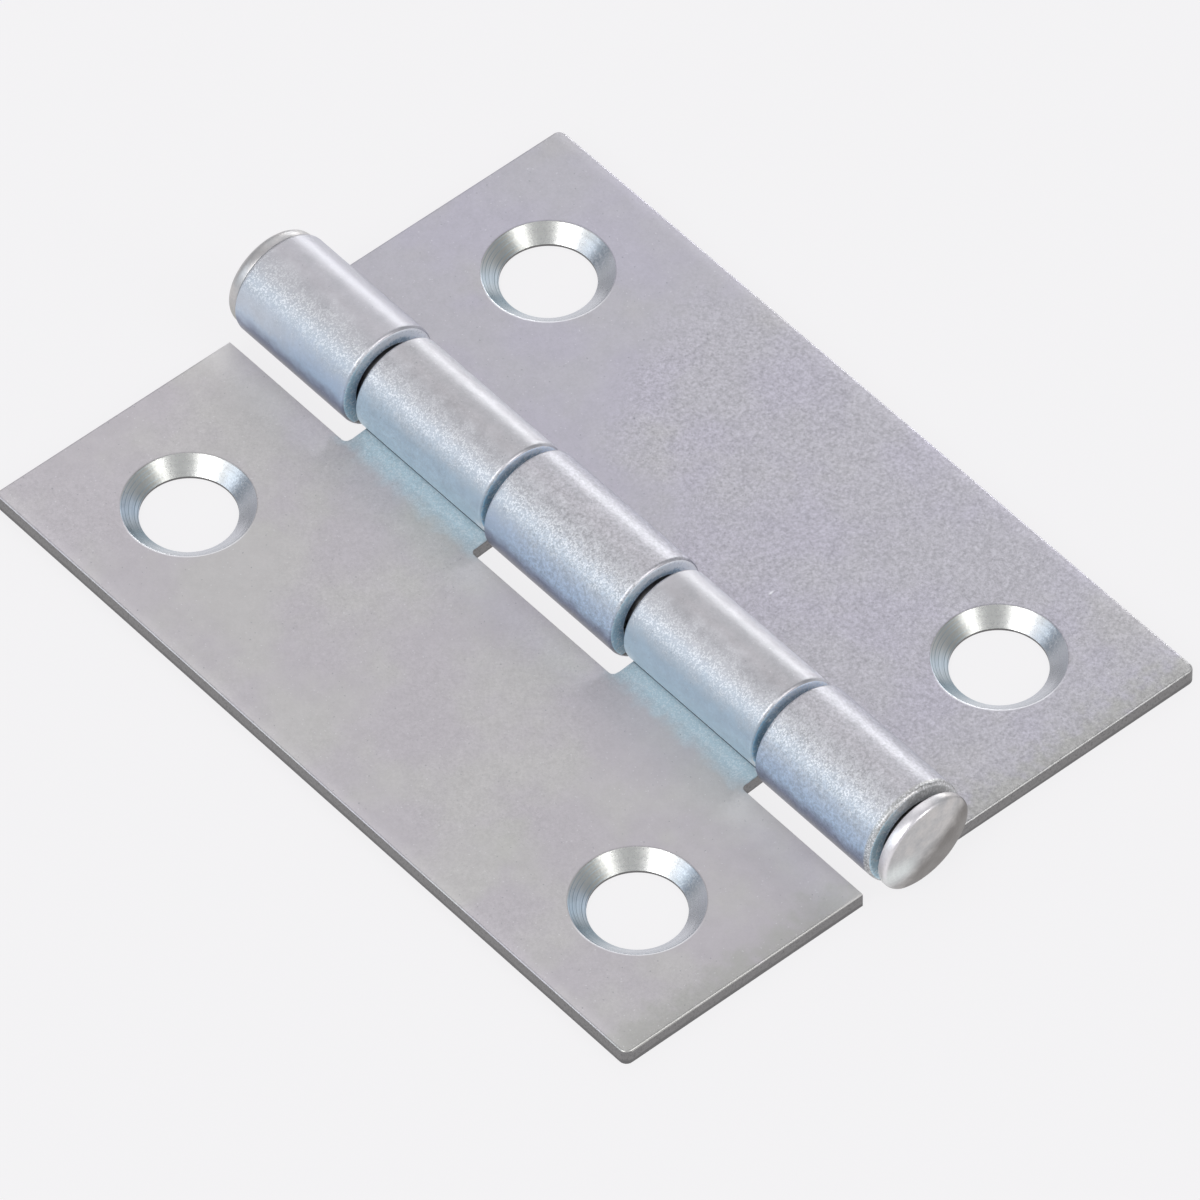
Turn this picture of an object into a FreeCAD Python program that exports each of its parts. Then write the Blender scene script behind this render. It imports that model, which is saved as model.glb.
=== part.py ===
import FreeCAD, Part
import math
import os
import Sketcher

# Narrow butt hinge, lying open and flat.
# The pin's centre line runs along Y. The leaf with three knuckles lies on the +X side, the leaf
# with two knuckles on the -X side, and both backs rest on the plane Z = 0.

document = FreeCAD.newDocument("NarrowButtHinge")

# Driving dimensions, in millimetres and degrees
drivingSizes = (
    ("leafLength", 50.8, "length of each leaf along the pin"),
    ("leafWidth", 19.7, "pin centre line to the outer edge of a leaf"),
    ("sheetThickness", 1.0, "steel sheet of both leaves"),
    ("cornerRadius", 0.45, "plan radius of the blanked corners"),
    ("edgeRadius", 0.14, "softened front edges of a leaf"),
    ("pinDiameter", 3.6, "shank of the pin"),
    ("runningClearance", 0.1, "round the pin in the two knuckles that turn on it"),
    ("barrelStep", 0.25, "how far the other three knuckles stand proud of those two"),
    ("jointPitch", 10.78, "from one joint between knuckles to the next"),
    ("jointGap", 0.6, "end play between neighbouring knuckles"),
    ("notchClearance", 0.35, "larger barrel to the deep edge of a notch"),
    ("bendInset", 0.5, "deep edge of a notch to the line where a tab starts to rise"),
    ("notchRadius", 0.3, "inner corners of a notch"),
    ("rimEase", 0.22, "eased rims of the knuckles, measured along the barrel and down its end"),
    ("seamGap", 0.06, "end of the curl above the front of its own leaf"),
    ("holeEndInset", 7.36, "screw hole centre to the end of the leaf"),
    ("holeEdgeInset", 7.2, "screw hole centre to the outer edge of the leaf"),
    ("boreDiameter", 5.3, "screw hole through the sheet"),
    ("sinkDiameter", 7.25, "countersink at the front face"),
    ("sinkAngle", 100.0, "full angle of the countersink"),
    ("headLip", 1.2, "overhang of a pin head beyond the shank"),
    ("headGap", 0.1, "round head to its end of the barrel"),
    ("headHeight", 1.15, "thickness of the round head at its middle"),
    ("stakedGap", 0.5, "staked head to its end of the barrel"),
    ("crownBand", 0.3, "straight rim of the round head"),
    ("crownRadius", 0.5, "shoulder of the round head"),
    ("stakedBand", 0.35, "straight rim of the staked head"),
    ("stakedRadius", 0.2, "shoulder of the staked head"),
)

# Dimensions that follow from the driving ones
workedSizes = (
    ("runningBore", "Sizes.pinDiameter / 2 + Sizes.runningClearance"),
    ("fixedBore", "runningBore + Sizes.barrelStep"),
    ("runningBarrel", "runningBore + Sizes.sheetThickness"),
    ("fixedBarrel", "fixedBore + Sizes.sheetThickness"),
    ("axisHeight", "fixedBarrel"),
    ("notchEdge", "fixedBarrel + Sizes.notchClearance"),
    ("bendLine", "notchEdge - Sizes.bendInset"),
    ("runningRise", "atan2(axisHeight; bendLine) - asin(runningBarrel / hypot(bendLine; axisHeight))"),
    ("runningCurl", "asin((runningBore - Sizes.seamGap) / runningBarrel) + runningRise"),
    ("fixedRise", "0 deg"),
    ("fixedCurl", "asin((fixedBore - Sizes.seamGap) / fixedBarrel)"),
    ("innerJoint", "Sizes.jointPitch / 2"),
    ("outerJoint", "Sizes.jointPitch * 3 / 2"),
    ("holeReach", "Sizes.leafWidth - Sizes.holeEdgeInset"),
    ("holeRow", "Sizes.leafLength / 2 - Sizes.holeEndInset"),
    ("crownSeat", "Sizes.leafLength / 2 + Sizes.headGap"),
    ("stakedSeat", "Sizes.leafLength / 2 + Sizes.stakedGap"),
    ("headEnd", "crownSeat + Sizes.headHeight"),
    ("headRadius", "Sizes.pinDiameter / 2 + Sizes.headLip"),
)

sizes = document.addObject("Spreadsheet::Sheet", "Sizes")
for row, (alias, number, note) in enumerate(drivingSizes, start=1):
    sizes.set(f"A{row}", note)
    sizes.set(f"B{row}", str(number))
    sizes.setAlias(f"B{row}", alias)
document.recompute()

worked = document.addObject("Spreadsheet::Sheet", "Worked")
for row, (alias, formula) in enumerate(workedSizes, start=1):
    worked.set(f"B{row}", "=" + formula)
    worked.setAlias(f"B{row}", alias)
document.recompute()


def size(alias):
    table = worked if alias in [name for name, _ in workedSizes] else sizes
    number = table.get(alias)
    return getattr(number, "Value", number)


def bind(target, path, formula):
    target.setExpression(path, formula)


def newBody(label):
    body = document.addObject("PartDesign::Body", label)
    body.Label = label
    return body


def newSketch(body, name, plane):
    sketch = body.newObject("Sketcher::SketchObject", name)
    support = next(item for item in body.Origin.OriginFeatures if item.Role == plane)
    sketch.AttachmentSupport = (support, "")
    sketch.MapMode = "FlatFace"
    return sketch


def relate(sketch, kind, *members):
    sketch.addConstraint(Sketcher.Constraint(kind, *members))


def measure(sketch, kind, *members, formula):
    number = float(sketch.evalExpression(formula))
    index = sketch.addConstraint(Sketcher.Constraint(kind, *members, number))
    bind(sketch, f"Constraints[{index}]", formula)


def place(sketch, geometry, point, across, along):
    measure(sketch, "DistanceX", -1, 1, geometry, point, formula=across)
    measure(sketch, "DistanceY", -1, 1, geometry, point, formula=along)


def segment(sketch, start, end):
    first = FreeCAD.Vector(start[0], start[1], 0)
    last = FreeCAD.Vector(end[0], end[1], 0)
    return sketch.addGeometry(Part.LineSegment(first, last), False)


def arc(sketch, centre, radius, begin, finish):
    middle = FreeCAD.Vector(centre[0], centre[1], 0)
    circle = Part.Circle(middle, FreeCAD.Vector(0, 0, 1), radius)
    return sketch.addGeometry(Part.ArcOfCircle(circle, begin, finish), False)


def edgeNames(feature, wanted):
    return [f"Edge{number}" for number, edge in enumerate(feature.Shape.Edges, start=1) if wanted(edge)]


def near(first, second):
    return round(first - second, 3) == 0


def drawCurl(sketch, knuckle):
    outer = size(knuckle + "Barrel")
    inner = size(knuckle + "Bore")
    height = size("axisHeight")
    endAngle = -math.radians(size(knuckle + "Curl"))
    footAngle = 1.5 * math.pi - math.radians(size(knuckle + "Rise"))
    endInside = (inner * math.cos(endAngle), height + inner * math.sin(endAngle))
    endOutside = (outer * math.cos(endAngle), height + outer * math.sin(endAngle))

    inside = arc(sketch, (0, height), inner, endAngle, footAngle)
    curlEnd = segment(sketch, endInside, endOutside)
    outside = arc(sketch, (0, height), outer, endAngle, footAngle)

    relate(sketch, "Coincident", inside, 1, curlEnd, 1)
    relate(sketch, "Coincident", curlEnd, 2, outside, 1)
    relate(sketch, "Coincident", inside, 3, outside, 3)
    relate(sketch, "PointOnObject", outside, 3, -2)
    relate(sketch, "PointOnObject", outside, 3, curlEnd)
    measure(sketch, "DistanceY", -1, 1, outside, 3, formula="Worked.axisHeight")
    measure(sketch, "Radius", outside, formula=f"Worked.{knuckle}Barrel")
    measure(sketch, "Radius", inside, formula=f"Worked.{knuckle}Bore")
    return inside, outside


def drawFlatRootedCurl(sketch):
    # The larger barrel stands on the plane of the backs, so its curl grows straight out of the flat.
    inside, outside = drawCurl(sketch, "fixed")
    root = segment(sketch, (0, size("sheetThickness")), (0, 0))
    relate(sketch, "Coincident", inside, 2, root, 1)
    relate(sketch, "Coincident", root, 2, outside, 2)
    relate(sketch, "Vertical", root)
    relate(sketch, "PointOnObject", root, 2, -2)
    measure(sketch, "DistanceY", root, 1, outside, 1, formula="Sizes.seamGap")


def drawTabbedCurl(sketch):
    # The smaller barrel hangs a little higher, so its tab rises to it from a bend line.
    inside, outside = drawCurl(sketch, "running")
    rise = math.radians(size("runningRise"))
    sheet = size("sheetThickness")
    height = size("axisHeight")
    bend = size("bendLine")
    root = size("notchEdge")
    bendOver = (bend + sheet * math.tan(rise / 2), sheet)
    footOver = (-size("runningBore") * math.sin(rise), height - size("runningBore") * math.cos(rise))
    footUnder = (-size("runningBarrel") * math.sin(rise), height - size("runningBarrel") * math.cos(rise))

    tabFront = segment(sketch, footOver, bendOver)
    front = segment(sketch, bendOver, (root, sheet))
    edge = segment(sketch, (root, sheet), (root, 0))
    back = segment(sketch, (root, 0), (bend, 0))
    tabBack = segment(sketch, (bend, 0), footUnder)

    relate(sketch, "Tangent", inside, 2, tabFront, 1)
    relate(sketch, "Coincident", tabFront, 2, front, 1)
    relate(sketch, "Coincident", front, 2, edge, 1)
    relate(sketch, "Coincident", edge, 2, back, 1)
    relate(sketch, "Coincident", back, 2, tabBack, 1)
    relate(sketch, "Tangent", tabBack, 2, outside, 2)
    relate(sketch, "Horizontal", front)
    relate(sketch, "Vertical", edge)
    relate(sketch, "Horizontal", back)
    relate(sketch, "Parallel", tabFront, tabBack)
    relate(sketch, "PointOnObject", back, 1, -1)
    measure(sketch, "DistanceX", -1, 1, back, 2, formula="Worked.bendLine")
    measure(sketch, "DistanceX", -1, 1, edge, 1, formula="Worked.notchEdge")
    measure(sketch, "DistanceY", edge, 2, edge, 1, formula="Sizes.sheetThickness")
    measure(sketch, "Distance", outside, 1, tabFront, formula="Sizes.seamGap")


def drawFlat(sketch, inner):
    # Plan of the flat, rounded at its two outer corners
    root = float(sketch.evalExpression(inner))
    far = size("leafWidth")
    half = size("leafLength") / 2
    radius = size("cornerRadius")

    lowEnd = segment(sketch, (root, -half), (far - radius, -half))
    lowCorner = arc(sketch, (far - radius, radius - half), radius, -math.pi / 2, 0)
    outerEdge = segment(sketch, (far, radius - half), (far, half - radius))
    highCorner = arc(sketch, (far - radius, half - radius), radius, 0, math.pi / 2)
    highEnd = segment(sketch, (far - radius, half), (root, half))
    innerEdge = segment(sketch, (root, half), (root, -half))

    relate(sketch, "Tangent", lowEnd, 2, lowCorner, 1)
    relate(sketch, "Tangent", lowCorner, 2, outerEdge, 1)
    relate(sketch, "Tangent", outerEdge, 2, highCorner, 1)
    relate(sketch, "Tangent", highCorner, 2, highEnd, 1)
    relate(sketch, "Coincident", highEnd, 2, innerEdge, 1)
    relate(sketch, "Coincident", innerEdge, 2, lowEnd, 1)
    relate(sketch, "Horizontal", lowEnd)
    relate(sketch, "Vertical", outerEdge)
    relate(sketch, "Horizontal", highEnd)
    relate(sketch, "Vertical", innerEdge)
    relate(sketch, "Equal", lowCorner, highCorner)
    measure(sketch, "Radius", lowCorner, formula="Sizes.cornerRadius")
    measure(sketch, "DistanceX", -1, 1, outerEdge, 1, formula="Sizes.leafWidth")
    place(sketch, innerEdge, 1, inner, "Sizes.leafLength / 2")
    measure(sketch, "DistanceY", -1, 1, innerEdge, 2, formula="-Sizes.leafLength / 2")


def drawNotch(sketch, low, high):
    deep = size("notchEdge")
    mouth = -2 * size("fixedBarrel")
    radius = size("notchRadius")
    lowest = float(sketch.evalExpression(low))
    highest = float(sketch.evalExpression(high))

    lowSide = segment(sketch, (mouth, lowest), (deep - radius, lowest))
    lowCorner = arc(sketch, (deep - radius, lowest + radius), radius, -math.pi / 2, 0)
    deepSide = segment(sketch, (deep, lowest + radius), (deep, highest - radius))
    highCorner = arc(sketch, (deep - radius, highest - radius), radius, 0, math.pi / 2)
    highSide = segment(sketch, (deep - radius, highest), (mouth, highest))
    openSide = segment(sketch, (mouth, highest), (mouth, lowest))

    relate(sketch, "Tangent", lowSide, 2, lowCorner, 1)
    relate(sketch, "Tangent", lowCorner, 2, deepSide, 1)
    relate(sketch, "Tangent", deepSide, 2, highCorner, 1)
    relate(sketch, "Tangent", highCorner, 2, highSide, 1)
    relate(sketch, "Coincident", highSide, 2, openSide, 1)
    relate(sketch, "Coincident", openSide, 2, lowSide, 1)
    relate(sketch, "Horizontal", lowSide)
    relate(sketch, "Vertical", deepSide)
    relate(sketch, "Vertical", openSide)
    relate(sketch, "Horizontal", highSide)
    relate(sketch, "Equal", lowCorner, highCorner)
    measure(sketch, "Radius", lowCorner, formula="Sizes.notchRadius")
    measure(sketch, "DistanceX", -1, 1, deepSide, 1, formula="Worked.notchEdge")
    place(sketch, openSide, 1, "-2 * Worked.fixedBarrel", high)
    measure(sketch, "DistanceY", -1, 1, openSide, 2, formula=low)


def cutScrewHoles(body, name):
    sketch = newSketch(body, name + "Plan", "XY_Plane")
    bind(sketch, "AttachmentOffset.Base.z", "Sizes.sheetThickness")
    reach = size("holeReach")
    for sign in (1, -1):
        middle = FreeCAD.Vector(reach, sign * size("holeRow"), 0)
        circle = Part.Circle(middle, FreeCAD.Vector(0, 0, 1), size("boreDiameter") / 2)
        ring = sketch.addGeometry(circle, False)
        measure(sketch, "Diameter", ring, formula="Sizes.boreDiameter")
        place(sketch, ring, 3, "Worked.holeReach", f"{sign} * Worked.holeRow")
    document.recompute()

    holes = body.newObject("PartDesign::Hole", name)
    holes.Profile = sketch
    holes.DepthType = "ThroughAll"
    bind(holes, "Diameter", "Sizes.boreDiameter")
    holes.HoleCutType = "Countersink"
    holes.HoleCutCustomValues = True
    bind(holes, "HoleCutDiameter", "Sizes.sinkDiameter")
    bind(holes, "HoleCutCountersinkAngle", "Sizes.sinkAngle")
    document.recompute()
    return holes


def drawRimCut(sketch, barrel, face, side):
    # Corner that is taken off a rim: two equal bevels that follow a quarter round
    ease = size("rimEase")
    faceAt = float(sketch.evalExpression(face))
    rim = size(barrel)
    kneeAt = ease * math.sqrt(0.5)
    onFace = (rim - ease, faceAt)
    knee = (rim - ease + kneeAt, faceAt - side * (ease - kneeAt))
    onBarrel = (rim, faceAt - side * ease)

    flatter = segment(sketch, onFace, knee)
    steeper = segment(sketch, knee, onBarrel)
    shelf = segment(sketch, onBarrel, (rim + ease, faceAt - side * ease))
    outside = segment(sketch, (rim + ease, faceAt - side * ease), (rim + ease, faceAt + side * ease))
    beyond = segment(sketch, (rim + ease, faceAt + side * ease), (rim - ease, faceAt + side * ease))
    inside = segment(sketch, (rim - ease, faceAt + side * ease), onFace)

    relate(sketch, "Coincident", flatter, 2, steeper, 1)
    relate(sketch, "Coincident", steeper, 2, shelf, 1)
    relate(sketch, "Coincident", shelf, 2, outside, 1)
    relate(sketch, "Coincident", outside, 2, beyond, 1)
    relate(sketch, "Coincident", beyond, 2, inside, 1)
    relate(sketch, "Coincident", inside, 2, flatter, 1)
    relate(sketch, "Horizontal", shelf)
    relate(sketch, "Vertical", outside)
    relate(sketch, "Horizontal", beyond)
    relate(sketch, "Vertical", inside)
    place(sketch, flatter, 1, f"Worked.{barrel} - Sizes.rimEase", face)
    place(sketch, steeper, 2, f"Worked.{barrel}", f"{face} - {side} * Sizes.rimEase")
    place(
        sketch,
        steeper,
        1,
        f"Worked.{barrel} - Sizes.rimEase * (1 - sqrt(0.5))",
        f"{face} - {side} * Sizes.rimEase * (1 - sqrt(0.5))",
    )
    place(sketch, outside, 2, f"Worked.{barrel} + Sizes.rimEase", f"{face} + {side} * Sizes.rimEase")


def easeKnuckleRims(body, name, knuckle, faces):
    sketch = newSketch(body, name + "Outline", "XY_Plane")
    bind(sketch, "AttachmentOffset.Base.z", "Worked.axisHeight")
    for face, side in faces:
        drawRimCut(sketch, knuckle + "Barrel", face, side)
    rims = body.newObject("PartDesign::Groove", name)
    rims.Profile = sketch
    rims.ReferenceAxis = (sketch, ["V_Axis"])
    rims.Type = "TwoAngles"
    bind(rims, "Angle", f"Worked.{knuckle}Curl")
    bind(rims, "Angle2", f"270 deg - Worked.{knuckle}Rise")
    document.recompute()
    return rims


def roundEdges(body, name, base, edges, formula):
    rounding = body.newObject("PartDesign::Fillet", name)
    rounding.Base = (base, edges)
    bind(rounding, "Radius", formula)
    document.recompute()
    return rounding


def rolledLeaf(label, knuckle, flatFrom, drawSection, notches, faces):
    body = newBody(label)
    plan = newSketch(body, label + "Plan", "XY_Plane")
    drawFlat(plan, flatFrom)
    flat = body.newObject("PartDesign::Pad", label + "Flat")
    flat.Profile = plan
    bind(flat, "Length", "Sizes.sheetThickness")
    document.recompute()

    sheet = size("sheetThickness")
    inner = float(plan.evalExpression(flatFrom))

    def isFrontRim(edge):
        box = edge.BoundBox
        return near(box.ZMin, sheet) and near(box.ZMax, sheet) and not near(box.XMax, inner)

    roundEdges(body, label + "FrontEdges", flat, edgeNames(flat, isFrontRim), "Sizes.edgeRadius")

    section = newSketch(body, label + "Section", "XZ_Plane")
    drawSection(section)
    rolled = body.newObject("PartDesign::Pad", label + "Rolled")
    rolled.Profile = section
    rolled.SideType = "Symmetric"
    bind(rolled, "Length", "Sizes.leafLength")
    document.recompute()

    outline = newSketch(body, label + "Notches", "XY_Plane")
    for low, high in notches:
        drawNotch(outline, low, high)
    notched = body.newObject("PartDesign::Pocket", label + "Notched")
    notched.Profile = outline
    notched.Type = "ThroughAll"
    notched.SideType = "Symmetric"
    document.recompute()

    easeKnuckleRims(body, label + "KnuckleRims", knuckle, faces)
    cutScrewHoles(body, label + "Holes")
    return body


def drawHead(sketch, side, head):
    seat = size(head + "Seat")
    band = size(head + "Band")
    rounding = size(head + "Radius")
    rim = size("headRadius")
    end = size("headEnd")
    reach = rim - rounding
    crown = end - seat - band
    dome = (reach ** 2 + crown ** 2 - rounding ** 2) / (2 * (crown - rounding))
    middle = end - dome
    lean = math.atan2(seat + band - middle, reach)
    meets = (1, 2) if side > 0 else (2, 1)

    shoulderAngles = sorted((0, side * lean))
    domeAngles = sorted((side * lean, side * math.pi / 2))
    face = segment(sketch, (size("pinDiameter") / 2, side * seat), (rim, side * seat))
    rimLine = segment(sketch, (rim, side * seat), (rim, side * (seat + band)))
    turn = arc(sketch, (reach, side * (seat + band)), rounding, *shoulderAngles)
    top = arc(sketch, (0, side * middle), dome, *domeAngles)

    relate(sketch, "Coincident", face, 2, rimLine, 1)
    relate(sketch, "Tangent", rimLine, 2, turn, meets[0])
    relate(sketch, "Tangent", turn, meets[1], top, meets[0])
    relate(sketch, "Horizontal", face)
    relate(sketch, "Vertical", rimLine)
    relate(sketch, "PointOnObject", top, 3, -2)
    relate(sketch, "PointOnObject", top, meets[1], -2)
    place(sketch, rimLine, 1, "Worked.headRadius", f"{side} * Worked.{head}Seat")
    bandEnd = f"{side} * (Worked.{head}Seat + Sizes.{head}Band)"
    measure(sketch, "DistanceY", -1, 1, rimLine, 2, formula=bandEnd)
    measure(sketch, "Radius", turn, formula=f"Sizes.{head}Radius")
    measure(sketch, "DistanceY", -1, 1, top, meets[1], formula=f"{side} * Worked.headEnd")
    return face, top, meets[1], side * end


def headedPin(label):
    body = newBody(label)
    outline = newSketch(body, label + "Outline", "XY_Plane")
    upperFace, upperDome, upperTip, upperAt = drawHead(outline, 1, "crown")
    lowerFace, lowerDome, lowerTip, lowerAt = drawHead(outline, -1, "staked")
    radius = size("pinDiameter") / 2
    shank = segment(outline, (radius, -size("stakedSeat")), (radius, size("crownSeat")))
    axis = segment(outline, (0, upperAt), (0, lowerAt))
    relate(outline, "Coincident", shank, 2, upperFace, 1)
    relate(outline, "Coincident", shank, 1, lowerFace, 1)
    relate(outline, "Coincident", axis, 1, upperDome, upperTip)
    relate(outline, "Coincident", axis, 2, lowerDome, lowerTip)
    relate(outline, "Vertical", shank)
    measure(outline, "DistanceX", -1, 1, shank, 1, formula="Sizes.pinDiameter / 2")

    turned = body.newObject("PartDesign::Revolution", label + "Turned")
    turned.Profile = outline
    turned.ReferenceAxis = (outline, ["V_Axis"])
    turned.Angle = 360
    bind(body, "Placement.Base.z", "Worked.axisHeight")
    document.recompute()
    return body


# Notches of each leaf, where the other leaf's knuckles turn
halfGap = "Sizes.jointGap / 2"
outerLow = f"Worked.outerJoint - {halfGap}"
outerHigh = f"Worked.outerJoint + {halfGap}"
innerLow = f"Worked.innerJoint - {halfGap}"
innerHigh = f"Worked.innerJoint + {halfGap}"
threeKnuckleNotches = ((innerLow, outerHigh), (f"-({outerHigh})", f"-({innerLow})"))
twoKnuckleNotches = (
    (f"-({innerHigh})", innerHigh),
    (outerLow, "Sizes.leafLength"),
    ("-Sizes.leafLength", f"-({outerLow})"),
)

threeKnuckleFaces = (
    ("Sizes.leafLength / 2", 1),
    (outerHigh, -1),
    (innerLow, 1),
    (f"-({innerLow})", -1),
    (f"-({outerHigh})", 1),
    ("-Sizes.leafLength / 2", -1),
)
twoKnuckleFaces = (
    (outerLow, 1),
    (innerHigh, -1),
    (f"-({innerHigh})", 1),
    (f"-({outerLow})", -1),
)

pinLeaf = rolledLeaf(
    "three_knuckle_leaf", "fixed", "0 mm", drawFlatRootedCurl, threeKnuckleNotches, threeKnuckleFaces
)
turningLeaf = rolledLeaf(
    "two_knuckle_leaf", "running", "Worked.bendLine", drawTabbedCurl, twoKnuckleNotches, twoKnuckleFaces
)
turningLeaf.Placement = FreeCAD.Placement(
    FreeCAD.Vector(0, 0, 0), FreeCAD.Rotation(FreeCAD.Vector(0, 0, 1), 180)
)
pin = headedPin("hinge_pin")
document.recompute()

for item in document.Objects:
    if "Invalid" in item.State or "Error" in item.State:
        raise RuntimeError(f"{item.Label} is in a failed state: {item.State}")

os.makedirs("parts", exist_ok=True)
for body in (pinLeaf, turningLeaf, pin):
    if body.Shape.isNull() or not body.Shape.isValid() or len(body.Shape.Solids) != 1:
        raise RuntimeError(f"{body.Label} is not one valid solid")
    body.Shape.exportStep(f"parts/{body.Label}.step")
    box = body.Shape.BoundBox
    print(
        f"{body.Label}: {body.Shape.Volume:.2f} mm3,",
        f"X {box.XMin:.2f} to {box.XMax:.2f}, Y {box.YMin:.2f} to {box.YMax:.2f},",
        f"Z {box.ZMin:.2f} to {box.ZMax:.2f}",
    )
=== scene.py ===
import math
from types import SimpleNamespace

import bmesh
import bpy
from mathutils import Matrix, Vector
from mathutils.noise import noise as noiseAt


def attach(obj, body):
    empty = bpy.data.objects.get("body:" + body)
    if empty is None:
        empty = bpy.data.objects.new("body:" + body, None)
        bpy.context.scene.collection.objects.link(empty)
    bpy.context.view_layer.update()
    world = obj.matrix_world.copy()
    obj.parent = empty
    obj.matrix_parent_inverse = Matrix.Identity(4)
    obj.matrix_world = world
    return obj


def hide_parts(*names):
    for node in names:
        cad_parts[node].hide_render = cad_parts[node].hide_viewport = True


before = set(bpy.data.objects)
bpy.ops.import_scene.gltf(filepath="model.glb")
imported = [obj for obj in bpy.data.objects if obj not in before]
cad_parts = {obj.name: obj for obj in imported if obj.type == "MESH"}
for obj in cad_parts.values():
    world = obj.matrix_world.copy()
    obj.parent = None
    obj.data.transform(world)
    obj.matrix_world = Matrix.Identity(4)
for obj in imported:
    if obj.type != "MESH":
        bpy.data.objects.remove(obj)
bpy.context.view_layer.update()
print("frame loaded:", sorted(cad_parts))

# Sizes in millimetres that the finishes, the leaves and the pin share
hinge = {"axisHeight": 3.15, "holeReach": 12.5, "holeRow": 18.04}

# The camera stands at the near left, well above the open hinge.
cameraView = {
    "eye": (-0.3517473, -0.4167694, 0.6315545),
    "right": (0.756324, -0.654124, -0.009774),
    "up": (0.500166, 0.568552, 0.653133),
    "lens": 477.074,
    "sensor": 36.0,
    "nearest": 0.01,
    "furthest": 20.0,
}


def addPiece(name, data):
    piece = bpy.data.objects.new(name, data)
    bpy.context.scene.collection.objects.link(piece)
    return piece


def aimCamera(view):
    lensData = bpy.data.cameras.new("cameraLens")
    lensData.sensor_fit = "HORIZONTAL"
    lensData.sensor_width = view["sensor"]
    lensData.lens = view["lens"]
    lensData.clip_start = view["nearest"]
    lensData.clip_end = view["furthest"]
    camera = addPiece("camera", lensData)
    right = Vector(view["right"]).normalized()
    up = Vector(view["up"])
    up = (up - right * up.dot(right)).normalized()
    turn = Matrix((right, up, right.cross(up))).transposed()
    camera.matrix_world = Matrix.Translation(Vector(view["eye"])) @ turn.to_4x4()
    bpy.context.scene.camera = camera


aimCamera(cameraView)
print("camera set")


# Node trees: one call makes a node, sets its values and links what is linked
def nodeOf(tree, kind, values=None, **settings):
    node = tree.nodes.new(kind)
    for key, value in settings.items():
        setattr(node, key, value)
    for key, value in (values or {}).items():
        for one in value if isinstance(value, list) else [value]:
            if isinstance(one, bpy.types.NodeSocket):
                tree.links.new(one, node.inputs[key])
            else:
                node.inputs[key].default_value = one
    return node


def maths(tree, operation, first, second=0.0, third=0.0):
    return nodeOf(tree, "ShaderNodeMath", {0: first, 1: second, 2: third}, operation=operation).outputs[0]


def mathsOf(operation):
    return lambda tree, *given: maths(tree, operation, *given)


plus, minus, ratio = mathsOf("ADD"), mathsOf("SUBTRACT"), mathsOf("DIVIDE")
scaled, size = mathsOf("MULTIPLY_ADD"), mathsOf("ABSOLUTE")
below, beyond = mathsOf("LESS_THAN"), mathsOf("GREATER_THAN")


def product(tree, first, *others):
    for other in others:
        first = maths(tree, "MULTIPLY", first, other)
    return first


def highest(tree, first, *others):
    for other in others:
        first = maths(tree, "MAXIMUM", first, other)
    return first


def hypotenuse(tree, first, second):
    squares = plus(tree, product(tree, first, first), product(tree, second, second))
    return maths(tree, "SQRT", squares)


def shape(tree, kind, values=None, **settings):
    return nodeOf(tree, "GeometryNode" + kind, values, **settings).outputs[0]


def vectorOf(tree, x=0.0, y=0.0, z=0.0):
    return nodeOf(tree, "ShaderNodeCombineXYZ", {0: x, 1: y, 2: z}).outputs[0]


def partsOf(tree, vector):
    return nodeOf(tree, "ShaderNodeSeparateXYZ", {0: vector}).outputs


# Zinc finishes. Places are in millimetres, and turns round the pin in degrees from the +X side over the top.
# Pairs and triples say where a change starts, peaks and ends. A noise is its scale, detail, roughness, seed.
# White of the painted glints and highlights, the pale specks and the scrape
plating = {"frost": (0.95, 0.96, 0.98, 1.0)}


def newFinish(name):
    material = bpy.data.materials.new(name)
    material.use_nodes = True
    material.node_tree.nodes.clear()
    return material, material.node_tree


def millimetres(tree):
    place = nodeOf(tree, "ShaderNodeTexCoord").outputs["Object"]
    return nodeOf(tree, "ShaderNodeVectorMath", {0: place, "Scale": 1000.0}, operation="SCALE").outputs[0]


def noise(tree, vector, scale, detail, rough, seed):
    values = {"Vector": vector, "W": seed, "Scale": scale, "Detail": detail, "Roughness": rough}
    return nodeOf(tree, "ShaderNodeTexNoise", values, noise_dimensions="4D").outputs["Fac"]


def crystals(tree, vector, scale):
    cells = nodeOf(tree, "ShaderNodeTexVoronoi", {"Vector": vector, "Scale": scale}, feature="F1")
    return partsOf(tree, cells.outputs["Color"])


def ramp(tree, factor, low, high, fromValue=0.0, toValue=1.0):
    values = {"Value": factor, "From Min": low, "From Max": high, "To Min": fromValue, "To Max": toValue}
    return nodeOf(tree, "ShaderNodeMapRange", values, interpolation_type="SMOOTHSTEP").outputs["Result"]


def fade(tree, factor, low, high):
    return ramp(tree, factor, low, high, 1.0, 0.0)


def hump(tree, value, low, peak, high):
    return product(tree, ramp(tree, value, low, peak), fade(tree, value, peak, high))


def between(tree, value, low, high):
    return product(tree, below(tree, value, high), beyond(tree, value, low))


def roughened(tree, factor, edges, values):
    return plus(tree, ramp(tree, factor, *edges, *values["roughSpread"]), values["roughness"])


def region(tree, values, **places):
    # The share inside a region: a triple rises and falls again, anything else is a ramp
    shares = []
    for key, place in places.items():
        change = hump if len(values[key]) == 3 else ramp
        shares.append(change(tree, place, *values[key]))
    return product(tree, *shares)


def blended(tree, factor, first, second, blend="MIX"):
    node = nodeOf(tree, "ShaderNodeMix", {0: factor, 6: first, 7: second}, data_type="RGBA", blend_type=blend)
    return node.outputs[2]


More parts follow.
